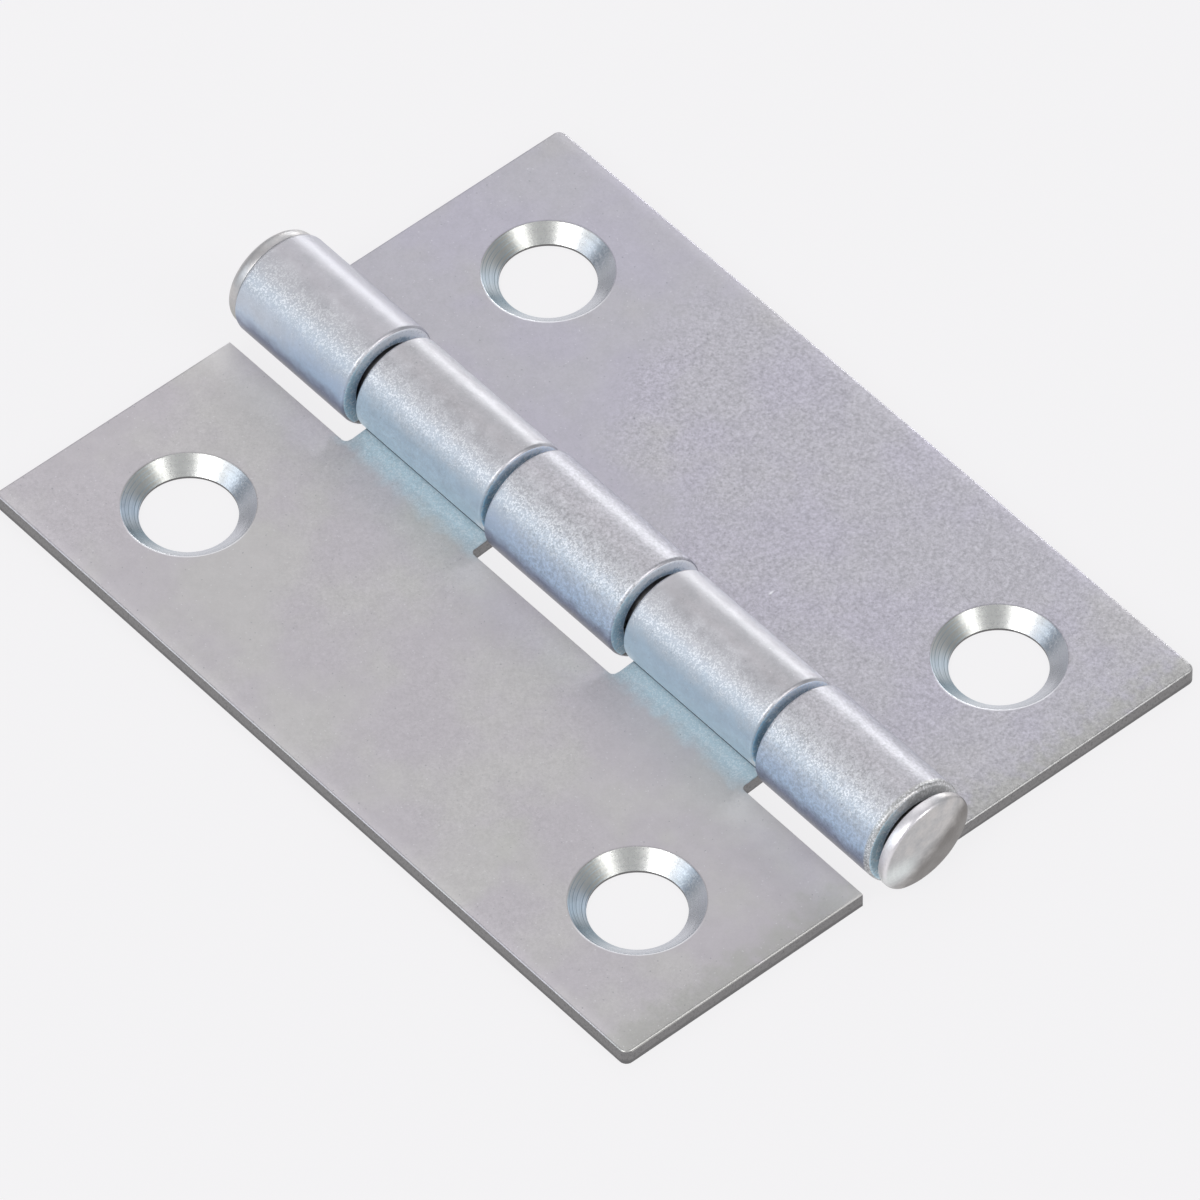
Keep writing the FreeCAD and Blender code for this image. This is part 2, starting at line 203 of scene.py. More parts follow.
def shaded(tree, colour, shade):
    return blended(tree, 1.0, colour, vectorOf(tree, shade, shade, shade), "MULTIPLY")


def toned(tree, degrees, tones):
    node = nodeOf(tree, "ShaderNodeValToRGB", {"Fac": ratio(tree, degrees, 360.0)})
    stops = node.color_ramp.elements
    stops[0].position, stops[0].color = 0.0, (*tones[0][1], 1.0)
    stops[1].position, stops[1].color = tones[-1][0] / 360, (*tones[-1][1], 1.0)
    for angle, colour in tones[1:-1]:
        stops.new(angle / 360).color = (*colour, 1.0)
    return node.outputs["Color"]


def metal(tree, colour, roughness, height, distance, metallic=1.0):
    bump = nodeOf(tree, "ShaderNodeBump", {"Strength": 1.0, "Distance": distance / 1000, "Height": height})
    values = {"Metallic": metallic, "Base Color": colour, "Roughness": roughness, "Normal": bump.outputs[0]}
    shader = nodeOf(tree, "ShaderNodeBsdfPrincipled", values)
    nodeOf(tree, "ShaderNodeOutputMaterial", {"Surface": shader.outputs["BSDF"]})


def aboveAxis(tree, z):
    return minus(tree, z, hinge["axisHeight"])


def pinAngle(tree, x, z):
    # Degrees round the pin, and millimetres from its centre line
    above = aboveAxis(tree, z)
    turn = maths(tree, "MODULO", plus(tree, maths(tree, "ARCTAN2", above, x), 2 * math.pi), 2 * math.pi)
    return product(tree, turn, 180 / math.pi), hypotenuse(tree, above, x)


def fromHole(tree, x, y):
    # How far a place lies from the nearer hole's centre, across and along the leaf
    across = minus(tree, x, product(tree, maths(tree, "SIGN", x), hinge["holeReach"]))
    along = minus(tree, y, product(tree, maths(tree, "SIGN", y), hinge["holeRow"]))
    return across, along


faceZinc = {
    "crevice": (0.07, 0.09, 0.12, 1.0), "roughness": 0.42, "roughSpread": (-0.03, 0.03), "grainHeight": 0.004,
    "endTone": (0.425, 0.425, 0.405, 1.0), "endBlue": (0.56, 0.585, 0.63, 1.0),
    "tabBlue": (0.57, 0.71, 0.78, 1.0),
    "cloudNoise": (0.22, 3.0, 0.5, 1.0), "cloudEdges": (0.38, 0.62),
    "stainNoise": (0.13, 3.0, 0.6, 7.0), "stainEdges": (0.54, 0.72),
    "mottleNoise": (1.1, 3.0, 0.55, 2.0), "mottleShade": (0.25, 0.75, 0.97, 1.03),
    "grainNoise": (6.5, 3.0, 0.75, 3.0), "grainEdges": (0.3, 0.7),
    "sandyNoise": (0.09, 2.0, 0.5, 14.0), "sandyEdges": (0.4, 0.6),
    "crystalScale": 15.0, "crystalEdges": (0.55, 0.85), "crystalShare": 0.75, "crystalRise": 0.8,
    "specks": (0.992, 0.998, 0.0, 0.22), "pits": (0.001, 0.003, 0.3, 0.0),
    "turnWander": 24.0, "edgeWander": 2.0, "endWander": -5.0,
    "barrelRing": (2.6, 3.3), "barrelLow": 1.15, "frontLevel": (0.6, 1.5),
    "frostedTurn": (94.0, 122.0, 160.0), "tabFrost": 0.5,
    "endRim": (-24.95, -25.12), "endRimFrost": 0.8, "endRimShare": 0.7,
    "lowEnd": (-23.0, -25.3, 0.0, 0.8), "paleEnd": (18.5, 24.0, 0.0, 0.75), "paleTurn": (130.0, 158.0, 190.0),
    "tabRow": ((4.7, 5.7), (15.9, 16.9)), "tabFade": (0.5, 2.3), "seamX": -2.0, "tabStart": -1.8,
    "edgeX": (18.8, 19.7), "edgeY": (24.5, 25.4), "edgeShade": 0.12, "edgeDrop": -4.0, "mottleRise": 1.2,
    "besideNotch": (-6.5, -3.5), "notchStart": -2.2, "notchShade": (-0.32, 0.26),
    "seam": (-2.15, -2.08, 0.0, 0.9), "bentTurn": ((100.0, 165.0), (225.0, 270.0)),
    "bentMatte": 0.55, "tabMatte": 0.75, "notchMatte": 0.9,
    "cornerMiddle": 5.23, "cornerReach": 10.87, "cornerSize": (0.25, 0.75), "cornerShare": 0.8,
    "cornerTurn": ((186.0, 202.0), (216.0, 228.0)),
    "rim": (3.56, 3.65, 3.76), "rimAcross": (2.2, -0.4), "rimAlong": (1.6, -0.2), "rimShare": 0.85,
    "scratch": ((6.2, -6.9), (6.8, -6.83)), "scratchWidth": (0.02, 0.07),
    "scratchPeak": 0.4, "scratchShare": 0.7,
}
# Colours of the two leaves. Their tones by turn round the pin paint the knuckles' highlight stripes, their
# blue reflections and the shade along their lower edge
firstZinc = {
    "main": (0.486, 0.472, 0.532, 1.0),
    "cloud": (0.486, 0.477, 0.515, 1.0), "stain": (0.490, 0.482, 0.498, 1.0),
    "sandy": (0.06, 0.24), "sandySlope": (-0.03, 0.2), "tabs": 0.0,
    "tones": (
        (0, (0.50, 0.49, 0.52)), (24, (0.48, 0.485, 0.56)), (44, (0.55, 0.55, 0.60)),
        (66, (0.45, 0.45, 0.48)), (92, (0.51, 0.50, 0.53)), (114, (0.68, 0.68, 0.71)),
        (138, (0.48, 0.52, 0.57)), (160, (0.45, 0.54, 0.67)), (172, (0.42, 0.53, 0.68)),
        (185, (0.22, 0.25, 0.34)), (200, (0.26, 0.26, 0.30)), (250, (0.49, 0.48, 0.50)),
    ),
}
secondZinc = {
    "main": (0.518, 0.495, 0.518, 1.0),
    "cloud": (0.538, 0.526, 0.522, 1.0), "stain": (0.530, 0.526, 0.505, 1.0),
    "sandy": (0.04, 0.11), "sandySlope": (0.0, 0.0), "tabs": 1.0,
    "tones": (
        (0, (0.50, 0.49, 0.51)), (26, (0.74, 0.75, 0.81)), (50, (0.64, 0.64, 0.67)),
        (68, (0.41, 0.41, 0.43)), (92, (0.49, 0.48, 0.50)), (114, (0.69, 0.69, 0.72)),
        (138, (0.48, 0.52, 0.57)), (160, (0.42, 0.53, 0.63)), (180, (0.51, 0.66, 0.77)),
        (210, (0.62, 0.74, 0.81)), (250, (0.49, 0.48, 0.50)),
    ),
}


def tabRow(tree, y, wander, values):
    # The two stretches of the leaves' length that the turning knuckles take up
    row = plus(tree, size(tree, y), wander)
    start, end = values["tabRow"]
    return product(tree, ramp(tree, row, *start), fade(tree, row, *end))


def tabMask(tree, x, row, wander, values):
    # Where the two tabs of the turning leaf meet its knuckles, painted with a blue reflection and glints
    fromSeam = plus(tree, minus(tree, values["seamX"], x), wander)
    strip = product(tree, fade(tree, fromSeam, *values["tabFade"]), below(tree, x, values["tabStart"]))
    return product(tree, strip, row)


def cornerMask(tree, y, degrees, values):
    # Painted highlight on the corner of both turning knuckles, at their -Y end by the seam
    fromMiddle = size(tree, plus(tree, y, values["cornerMiddle"]))
    fromEnd = size(tree, minus(tree, fromMiddle, values["cornerReach"]))
    start, end = values["cornerTurn"]
    bySeam = product(tree, ramp(tree, degrees, *start), fade(tree, degrees, *end))
    return product(tree, fade(tree, fromEnd, *values["cornerSize"]), bySeam)


def rimMask(tree, x, y, values):
    # Painted highlight on the rim of each countersink, on its side by -X and -Y
    across, along = fromHole(tree, x, y)
    onRim = hump(tree, hypotenuse(tree, across, along), *values["rim"])
    lit = region(tree, values, rimAcross=across, rimAlong=along)
    return product(tree, onRim, lit)


def scratchMask(tree, x, y, values):
    # A short scrape along the line between two points of a leaf
    (startX, startY), (endX, endY) = values["scratch"]
    length = math.hypot(endX - startX, endY - startY)
    alongX, alongY = (endX - startX) / length, (endY - startY) / length
    fromX, fromY = minus(tree, x, startX), minus(tree, y, startY)
    along = plus(tree, product(tree, fromX, alongX), product(tree, fromY, alongY))
    aside = minus(tree, product(tree, fromY, alongX), product(tree, fromX, alongY))
    line = fade(tree, size(tree, aside), *values["scratchWidth"])
    return product(tree, line, hump(tree, along, 0.0, length * values["scratchPeak"], length))


def facePlaces(tree, values):
    # What lies at a point of a leaf: its place, the noises there, and a share from 0 to 1 for each region
    spot = millimetres(tree)
    x, y, z = partsOf(tree, spot)
    at = SimpleNamespace(spot=spot, x=x, y=y)
    at.mottle = noise(tree, spot, *values["mottleNoise"])
    at.grain = noise(tree, spot, *values["grainNoise"])
    at.sparkle, at.speck = crystals(tree, spot, values["crystalScale"])[:2]
    at.wander = minus(tree, at.mottle, 0.5)
    degrees, ring = pinAngle(tree, x, z)
    at.degrees = scaled(tree, at.wander, values["turnWander"], degrees)
    aboveLeaf = beyond(tree, z, values["barrelLow"])
    at.barrel = product(tree, between(tree, ring, *values["barrelRing"]), aboveLeaf)
    at.front = between(tree, z, *values["frontLevel"])
    wander = product(tree, at.wander, values["edgeWander"])
    at.row = tabRow(tree, y, wander, values)
    at.tab = product(tree, tabMask(tree, x, at.row, wander, values), product(tree, at.front, values["tabs"]))
    at.endRim = product(tree, ramp(tree, y, *values["endRim"]), at.barrel)
    outward = below(tree, x, values["notchStart"])
    at.besideNotch = product(tree, ramp(tree, x, *values["besideNotch"]), outward, at.front)
    at.edgeX = ramp(tree, size(tree, x), *values["edgeX"])
    at.edgeY = ramp(tree, size(tree, y), *values["edgeY"])
    # Frosted crystals on the knuckles, the tabs and the end rim, where glints are painted
    frosted = product(tree, hump(tree, at.degrees, *values["frostedTurn"]), at.barrel)
    tabFrost = product(tree, at.tab, values["tabFrost"])
    at.frosted = highest(tree, frosted, tabFrost, product(tree, at.endRim, values["endRimFrost"]))
    return at


def faceColour(tree, at, values):
    cloud, stain = noise(tree, at.spot, *values["cloudNoise"]), noise(tree, at.spot, *values["stainNoise"])
    colour = blended(tree, ramp(tree, cloud, *values["cloudEdges"]), values["main"], values["cloud"])
    colour = blended(tree, ramp(tree, stain, *values["stainEdges"]), colour, values["stain"])
    lowEnd = scaled(tree, at.wander, values["endWander"], at.y)
    colour = blended(tree, ramp(tree, lowEnd, *values["lowEnd"]), colour, values["endTone"])
    # The knuckles are coloured by turn: painted highlight stripes, painted blue reflections on the -X side
    # and painted shade along the lower edge
    rolled = toned(tree, at.degrees, values["tones"])
    # Painted pale blue reflection low on the -X side of the knuckles towards the +Y end
    paleEnd = region(tree, values, paleEnd=at.y, paleTurn=at.degrees)
    rolled = blended(tree, paleEnd, rolled, values["endBlue"])
    colour = blended(tree, at.barrel, colour, rolled)
    colour = blended(tree, product(tree, at.endRim, values["endRimShare"]), colour, values["endTone"])
    # Painted blue reflection on the tabs by the seam
    return blended(tree, at.tab, colour, values["tabBlue"])


def faceShade(tree, at, values):
    # Mottle, sandy grain, a painted highlight along the outer edge, and painted light in the strip beside the
    # notches where the knuckles shade it, with a little painted shade in the tab rows
    sandyPlace = noise(tree, at.spot, *values["sandyNoise"])
    sandyPlace = plus(tree, sandyPlace, scaled(tree, at.y, *values["sandySlope"]))
    sandy = ramp(tree, sandyPlace, *values["sandyEdges"], *values["sandy"])
    grain = product(tree, ramp(tree, at.grain, *values["grainEdges"], -1.0, 1.0), sandy)
    shade = plus(tree, ramp(tree, at.mottle, *values["mottleShade"]), grain)
    shade = scaled(tree, at.edgeX, values["edgeShade"], shade)
    notchShade = scaled(tree, at.row, *values["notchShade"])
    return scaled(tree, at.besideNotch, notchShade, shade)


def faceGlint(tree, at, values):
    # Painted glints on the frosted crystals, stray pale specks, the scrape, and painted highlights on the
    # countersinks' rims and the knuckles' corners
    frosted = product(tree, at.frosted, values["crystalShare"])
    crystal = product(tree, ramp(tree, at.sparkle, *values["crystalEdges"]), frosted)
    speck = ramp(tree, at.speck, *values["specks"])
    scratch = product(tree, scratchMask(tree, at.x, at.y, values), values["scratchShare"])
    rim = product(tree, rimMask(tree, at.x, at.y, values), product(tree, at.front, values["rimShare"]))
    polished = product(tree, at.barrel, values["tabs"] * values["cornerShare"])
    corner = product(tree, cornerMask(tree, at.y, at.degrees, values), polished)
    return highest(tree, crystal, speck, scratch, rim, corner)


def facePits(tree, at, values):
    # Dark specks, and painted shade in the seam where a knuckle comes back to its leaf
    inSeam = product(tree, ramp(tree, at.x, *values["seam"]), at.front, below(tree, at.x, 0.0))
    return highest(tree, ramp(tree, at.speck, *values["pits"]), inSeam)


def faceMatte(tree, at, values):
    start, end = values["bentTurn"]
    bentSide = product(tree, ramp(tree, at.degrees, *start), fade(tree, at.degrees, *end))
    bent = product(tree, bentSide, at.barrel, values["bentMatte"])
    tab = product(tree, at.tab, values["tabMatte"])
    return highest(tree, bent, tab, product(tree, at.besideNotch, values["notchMatte"]))


def makeFaceZinc(name, values):
    # Matte blue-passivated zinc: cloudy grey flats and frosted crystals, with painted glints, and painted
    # highlights, shade and blue reflections round the knuckles and on the tabs
    material, tree = newFinish(name)
    at = facePlaces(tree, values)
    colour = shaded(tree, faceColour(tree, at, values), faceShade(tree, at, values))
    colour = blended(tree, faceGlint(tree, at, values), colour, plating["frost"])
    colour = blended(tree, facePits(tree, at, values), colour, values["crevice"])
    roughness = roughened(tree, at.grain, values["grainEdges"], values)
    turnedOver = scaled(tree, at.edgeX, at.edgeX, product(tree, at.edgeY, at.edgeY))
    height = scaled(tree, at.mottle, values["mottleRise"], at.grain)
    height = scaled(tree, turnedOver, values["edgeDrop"], height)
    height = scaled(tree, product(tree, at.sparkle, at.frosted), values["crystalRise"], height)
    metallic = minus(tree, 1.0, faceMatte(tree, at, values))
    metal(tree, colour, roughness, height, values["grainHeight"], metallic)
    return material


# "across" and "along" are measured from the hole's centre
# Colours of the countersinks, painted by side: highlights, painted shade over a highlight and over a
# reflection, a blue reflection and a sheen
sinkZinc = {
    "bright": (0.86, 0.88, 0.92, 1.0), "dull": (0.64, 0.645, 0.62, 1.0), "blue": (0.25, 0.33, 0.385, 1.0),
    "near": (0.64, 0.65, 0.70, 1.0), "sheen": (0.82, 0.92, 1.0, 1.0), "worn": (0.25, 0.253, 0.24, 1.0),
    "rubbed": (0.36, 0.40, 0.45, 1.0), "roughness": 0.29, "roughSpread": (-0.03, 0.04), "wornRough": 0.12,
    "lineNoise": (9.0, 2.0, 0.7, 4.0), "lineDull": (0.35, 0.65, 0.4, 1.0), "lineTurn": (0.8, -0.8, 0.35, 1.0),
    "lineHeight": 0.006, "scoreNoise": (20.0, 2.0, 0.7, 16.0), "scores": (0.42, 0.52, 0.7, 0.0),
    "scoreTurn": (0.8, -0.8, 0.1, 1.0),
    "patchNoise": (0.8, 3.0, 0.6, 5.0), "patchEdges": (0.4, 0.75), "grainNoise": (8.0, 2.0, 0.6, 6.0),
    "grainEdges": (0.3, 0.7), "grainRise": 0.4, "farSide": (-1.0, 2.6), "nearSide": (-0.6, -2.6),
    "wornAcross": (-2.2, -0.1, 1.2), "wornAlong": (1.8, 2.6),
    "rubbedAcross": (1.9, 2.7), "rubbedAlong": (-2.2, -0.7, 0.7), "rubbedGrain": (0.35, 0.6, 0.6, 1.0),
    "blueAcross": (-0.4, -2.6), "blueAlong": (-2.4, 0.4, 1.9),
    "sheenAcross": (-1.0, -2.0), "sheenAlong": (0.6, 1.9, 3.0),
}


def sinkColour(tree, spot, across, along, lines, grain, values):
    # Colours by side paint the countersink's highlights, shade and reflections. Returns the colour and the
    # share of the painted shade over the highlight and of the painted sheen, where the roughness is raised
    patches = noise(tree, spot, *values["patchNoise"])
    colour = blended(tree, ramp(tree, along, *values["farSide"]), values["bright"], values["dull"])
    dull = region(tree, values, patchEdges=patches, lineDull=lines)
    colour = blended(tree, dull, colour, values["dull"])
    worn = region(tree, values, wornAcross=across, wornAlong=along)
    colour = blended(tree, worn, colour, values["worn"])
    rubbed = region(tree, values, rubbedAcross=across, rubbedAlong=along, rubbedGrain=grain)
    colour = blended(tree, rubbed, colour, values["rubbed"])
    colour = blended(tree, ramp(tree, along, *values["nearSide"]), colour, values["near"])
    blue = region(tree, values, blueAcross=across, blueAlong=along)
    colour = blended(tree, blue, colour, values["blue"])
    sheen = region(tree, values, sheenAcross=across, sheenAlong=along)
    return blended(tree, sheen, colour, values["sheen"]), worn, sheen


def makeSinkZinc(values):
    # Countersinks, turned before they were zinc coated: fine rings show through the zinc, most on the -X
    # side. Their colour paints a highlight on the far side, shade on the near side, and blue reflections
    material, tree = newFinish("sinkZinc")
    spot = millimetres(tree)
    x, y, z = partsOf(tree, spot)
    deep = vectorOf(tree, 0.0, 0.0, z)
    lines, grain = noise(tree, deep, *values["lineNoise"]), noise(tree, spot, *values["grainNoise"])
    across, along = fromHole(tree, x, y)
    colour, worn, sheen = sinkColour(tree, spot, across, along, lines, grain, values)
    scored = ramp(tree, noise(tree, deep, *values["scoreNoise"]), *values["scores"])
    scored = product(tree, scored, ramp(tree, across, *values["scoreTurn"]))
    colour = blended(tree, scored, colour, values["blue"])
    roughness = roughened(tree, grain, values["grainEdges"], values)
    roughness = scaled(tree, highest(tree, worn, sheen), values["wornRough"], roughness)
    lines = product(tree, lines, ramp(tree, across, *values["lineTurn"]))
    height = scaled(tree, grain, values["grainRise"], lines)
    metal(tree, colour, roughness, height, values["lineHeight"])
    return material


cutZinc = {
    "pale": (0.25, 0.245, 0.245, 1.0), "dark": (0.12, 0.117, 0.12, 1.0), "deep": (0.31, 0.44, 0.57, 1.0),
    "sanded": (0.50, 0.505, 0.505, 1.0), "roughness": 0.46, "roughSpread": (-0.05, 0.08), "tearHeight": 0.012,
    "tearNoise": (4.0, 3.0, 0.65, 8.0), "tearStretch": 0.25, "pitNoise": (7.0, 3.0, 0.7, 9.0), "pitRise": 0.6,
    "pitEdges": (0.5, 0.72), "pitShare": (-0.4, 0.7), "grainEdges": (0.3, 0.7),
    "tornNoise": (0.7, 2.0, 0.5, 10.0), "tornLevel": (0.3, 0.12), "tornEdges": (-0.08, 0.05),
    "tornShare": 0.55,
    "knuckleRing": 3.25, "knuckleLow": 1.2, "knuckleMatte": -0.5, "smearNoise": (1.6, 3.0, 0.6, 15.0),
    "smearTurn": 90.0, "smearRing": 0.8, "sideTurn": (95.0, 150.0), "deepRing": (2.3, 2.65, 0.8, 0.0),
    "outerEnd": -25.0, "outerTurn": (125.0, 85.0, 0.0, 0.85),
    "crystalScale": 11.0, "crystalShare": (0.6, 0.9, 0.0, 0.55),
}
firstCut = {"top": (0.88, 0.90, 0.94, 1.0), "side": (0.50, 0.68, 0.78, 1.0)}
secondCut = {"top": (0.76, 0.84, 0.97, 1.0), "side": (0.45, 0.71, 0.90, 1.0)}


def knuckleEnd(tree, spot, y, degrees, ring, values):
    # Brighter than the other sheared edges, painted lighter on top, with a painted blue reflection down the
    # side, bluer painted shade inwards and painted glints
    smear = minus(tree, noise(tree, spot, *values["smearNoise"]), 0.5)
    turn = scaled(tree, smear, values["smearTurn"], degrees)
    colour = blended(tree, ramp(tree, turn, *values["sideTurn"]), values["top"], values["side"])
    inward = scaled(tree, smear, values["smearRing"], ring)
    colour = blended(tree, ramp(tree, inward, *values["deepRing"]), colour, values["deep"])
    # Darker on top at the outermost end
    outer = product(tree, below(tree, y, values["outerEnd"]), ramp(tree, turn, *values["outerTurn"]))
    colour = blended(tree, outer, colour, values["sanded"])
    sparkle = crystals(tree, spot, values["crystalScale"])[0]
    return blended(tree, ramp(tree, sparkle, *values["crystalShare"]), colour, plating["frost"])


def makeCutZinc(name, values):
    # Sheared edges: dull, torn through the thickness and darker in the torn lower part
    material, tree = newFinish(name)
    spot = millimetres(tree)
    x, y, z = partsOf(tree, spot)
    tears = noise(tree, vectorOf(tree, x, y, product(tree, z, values["tearStretch"])), *values["tearNoise"])
    pits = noise(tree, spot, *values["pitNoise"])
    degrees, ring = pinAngle(tree, x, z)
    onKnuckle = below(tree, ring, values["knuckleRing"])
    onKnuckle = product(tree, onKnuckle, beyond(tree, z, values["knuckleLow"]))
    tornLevel = scaled(tree, noise(tree, spot, *values["tornNoise"]), *values["tornLevel"])
    torn = ramp(tree, minus(tree, tornLevel, z), *values["tornEdges"])
    torn = product(tree, torn, minus(tree, 1.0, onKnuckle), values["tornShare"])
    pitted = ramp(tree, pits, *values["pitEdges"], 0.0, scaled(tree, onKnuckle, *values["pitShare"]))
    colour = blended(tree, onKnuckle, values["pale"], knuckleEnd(tree, spot, y, degrees, ring, values))
    colour = blended(tree, highest(tree, torn, pitted), colour, values["dark"])
    height = scaled(tree, pits, values["pitRise"], tears)
    roughness = roughened(tree, pits, values["grainEdges"], values)
    metallic = scaled(tree, onKnuckle, values["knuckleMatte"], 1.0)
    metal(tree, colour, roughness, height, values["tearHeight"], metallic)
    return material


# "above" is measured from the pin's centre line
pinZinc = {
    "warm": (0.60, 0.58, 0.57, 1.0), "cool": (0.50, 0.50, 0.505, 1.0), "shaded": (0.23, 0.217, 0.207, 1.0),
    "band": (0.84, 0.82, 0.84, 1.0), "streak": (0.80, 0.84, 0.83, 1.0), "under": (0.40, 0.40, 0.375, 1.0),
    "roughness": 0.40, "roughSpread": (-0.05, 0.06), "markHeight": 0.004,
    "markNoise": (3.5, 3.0, 0.65, 11.0), "markShade": (0.3, 0.7, -0.04, 0.04), "markRise": 1.2,
    "smearNoise": (0.8, 3.0, 0.6, 12.0), "smearEdges": (0.35, 0.65), "smearRough": (0.3, 0.7),
    "grainNoise": (6.0, 3.0, 0.65, 13.0), "grainShade": (0.3, 0.7, 0.95, 1.05), "grainRise": 0.5,
    "shadeAcross": 0.8, "shadeWander": 2.0, "shadeEdges": (0.3, 2.4), "underAbove": (0.9, -1.3),
    "streakAcross": (-0.5, -1.8), "streakAbove": (-1.9, -0.5, 0.9), "streakShare": 0.85,
    "bandRing": (2.8, 2.95), "bandAcross": (1.4, -0.6), "bandAbove": (-1.6, 0.4),
}


def pinColour(tree, x, y, above, ring, smears, values):
    # The staked head, at -Y, has painted shade low down on the +X side, a pale streak, and a painted
    # highlight on its pale band; the round head has painted shade underneath
    colour = blended(tree, ramp(tree, smears, *values["smearEdges"]), values["warm"], values["cool"])
    isStaked, isRound = below(tree, y, 0.0), beyond(tree, y, 0.0)
    lower = minus(tree, product(tree, x, values["shadeAcross"]), above)
    lower = scaled(tree, smears, values["shadeWander"], lower)
    lower = product(tree, ramp(tree, lower, *values["shadeEdges"]), isStaked)
    colour = blended(tree, lower, colour, values["shaded"])
    under = product(tree, ramp(tree, above, *values["underAbove"]), isRound)
    colour = blended(tree, under, colour, values["under"])
    streak = region(tree, values, streakAcross=x, streakAbove=above)
    colour = blended(tree, product(tree, streak, isStaked, values["streakShare"]), colour, values["streak"])
    onBand = region(tree, values, bandRing=ring, bandAcross=x)
    onBand = product(tree, onBand, isStaked, ramp(tree, above, *values["bandAbove"]))
    return blended(tree, onBand, colour, values["band"])


def makePinZinc(values):
    # Pin heads: rubbed smoother than the leaves, with faint round marks from the staking tool
    material, tree = newFinish("pinZinc")
    spot = millimetres(tree)
    x, y, z = partsOf(tree, spot)
    above = aboveAxis(tree, z)
    ring = hypotenuse(tree, above, x)
    marks = noise(tree, vectorOf(tree, ring, 0.0, 0.0), *values["markNoise"])
    smears, grain = noise(tree, spot, *values["smearNoise"]), noise(tree, spot, *values["grainNoise"])
    shade = plus(tree, ramp(tree, grain, *values["grainShade"]), ramp(tree, marks, *values["markShade"]))
    colour = shaded(tree, pinColour(tree, x, y, above, ring, smears, values), shade)
    roughness = roughened(tree, smears, values["smearRough"], values)
    height = plus(tree, product(tree, grain, values["grainRise"]), product(tree, marks, values["markRise"]))
    metal(tree, colour, roughness, height, values["markHeight"])
    return material


sinkPlating = makeSinkZinc(sinkZinc)
pinPlating = makePinZinc(pinZinc)
leafFinishes = {
    "three_knuckle_leaf": {
        "Face Finish": makeFaceZinc("firstFaceZinc", {**faceZinc, **firstZinc}),
        "Cut Finish": makeCutZinc("firstCutZinc", {**cutZinc, **firstCut}), "Sink Finish": sinkPlating,
    },
    "two_knuckle_leaf": {
        "Face Finish": makeFaceZinc("secondFaceZinc", {**faceZinc, **secondZinc}),
        "Cut Finish": makeCutZinc("secondCutZinc", {**cutZinc, **secondCut}), "Sink Finish": sinkPlating,
    },
}
print("zinc finishes mixed")


# Geometry trees for the leaves. They work in millimetres, and the last step turns the result to metres.
def treeOf(name, sizes):
    tree = bpy.data.node_groups.new(name, "GeometryNodeTree")
    tree.interface.new_socket("Geometry", in_out="INPUT", socket_type="NodeSocketGeometry")
    for label, value in sizes.items():
        kind = "NodeSocketInt" if isinstance(value, int) else "NodeSocketFloat"
        if isinstance(value, bpy.types.Material):
            kind = "NodeSocketMaterial"
        socket = tree.interface.new_socket(label, in_out="INPUT", socket_type=kind)
        if kind != "NodeSocketMaterial":
            socket.default_value = value
    tree.interface.new_socket("Geometry", in_out="OUTPUT", socket_type="NodeSocketGeometry")
    given = tree.nodes.new("NodeGroupInput").outputs
    result = tree.nodes.new("NodeGroupOutput").inputs[0]
    return tree, given, result


def giveTree(piece, tree, sizes):
    modifier = piece.modifiers.new(tree.name, "NODES")
    modifier.node_group = tree
    for item in tree.interface.items_tree:
        if item.in_out == "INPUT" and item.name in sizes:
            modifier[item.identifier] = sizes[item.name]


def chosen(tree, switch, no, yes, kind="FLOAT"):
    return shape(tree, "Switch", {0: switch, 1: no, 2: yes}, input_type=kind)


def spotOf(tree):
    return partsOf(tree, shape(tree, "InputPosition"))


def distanceFromHole(tree, x, y, given):
    alongRow = minus(tree, size(tree, y), given["Hole Row"])
    return hypotenuse(tree, alongRow, minus(tree, x, given["Hole Reach"]))


# How the blanks are cut, in millimetres. Blocks and tools reach past the sheet, a rim is found within
# a margin, and a face counts as sheared or coned by how far it leans.
shearing = {
    "blockSteps": 6, "blockHeight": 4.0, "blockFoot": -1.5, "weld": 0.0001,
    "pastWidth": 1.0, "pastLength": 2.0, "pastCurl": 3.0, "toolSides": 96, "toolFoot": -0.5, "lastRing": 0.4,
    "levelMargin": 0.002, "arcMargin": 0.2, "notchMargin": 0.01, "holeMargin": 0.1, "endMargin": 0.02,
    "shearedLean": 0.3, "conedLean": 0.9,
}


def uprightBlock(tree, width, length, radius, middle):
    # A rounded rectangle in plan, taller than the sheet, to cut with
    outline = nodeOf(tree, "GeometryNodeCurvePrimitiveQuadrilateral", {"Width": width, "Height": length})
    values = {"Curve": outline.outputs[0], "Count": shearing["blockSteps"], "Radius": radius}
    rounded = nodeOf(tree, "GeometryNodeFilletCurve", values, mode="POLY")
    filled = shape(tree, "FillCurve", {"Curve": rounded.outputs[0]}, mode="NGONS")
    values = {"Mesh": filled, "Offset": (0.0, 0.0, 1.0), "Individual": False}
    values["Offset Scale"] = shearing["blockHeight"]
    lifted = shape(tree, "ExtrudeMesh", values)
    underside = shape(tree, "FlipFaces", {"Mesh": filled})
    both = shape(tree, "JoinGeometry", {0: [lifted, underside]})
    values = {"Geometry": both, "Distance": shearing["weld"]}
    closed = shape(tree, "MergeByDistance", values)
    values = {"Geometry": closed, "Translation": vectorOf(tree, middle, 0.0, shearing["blockFoot"])}
    return shape(tree, "Transform", values)


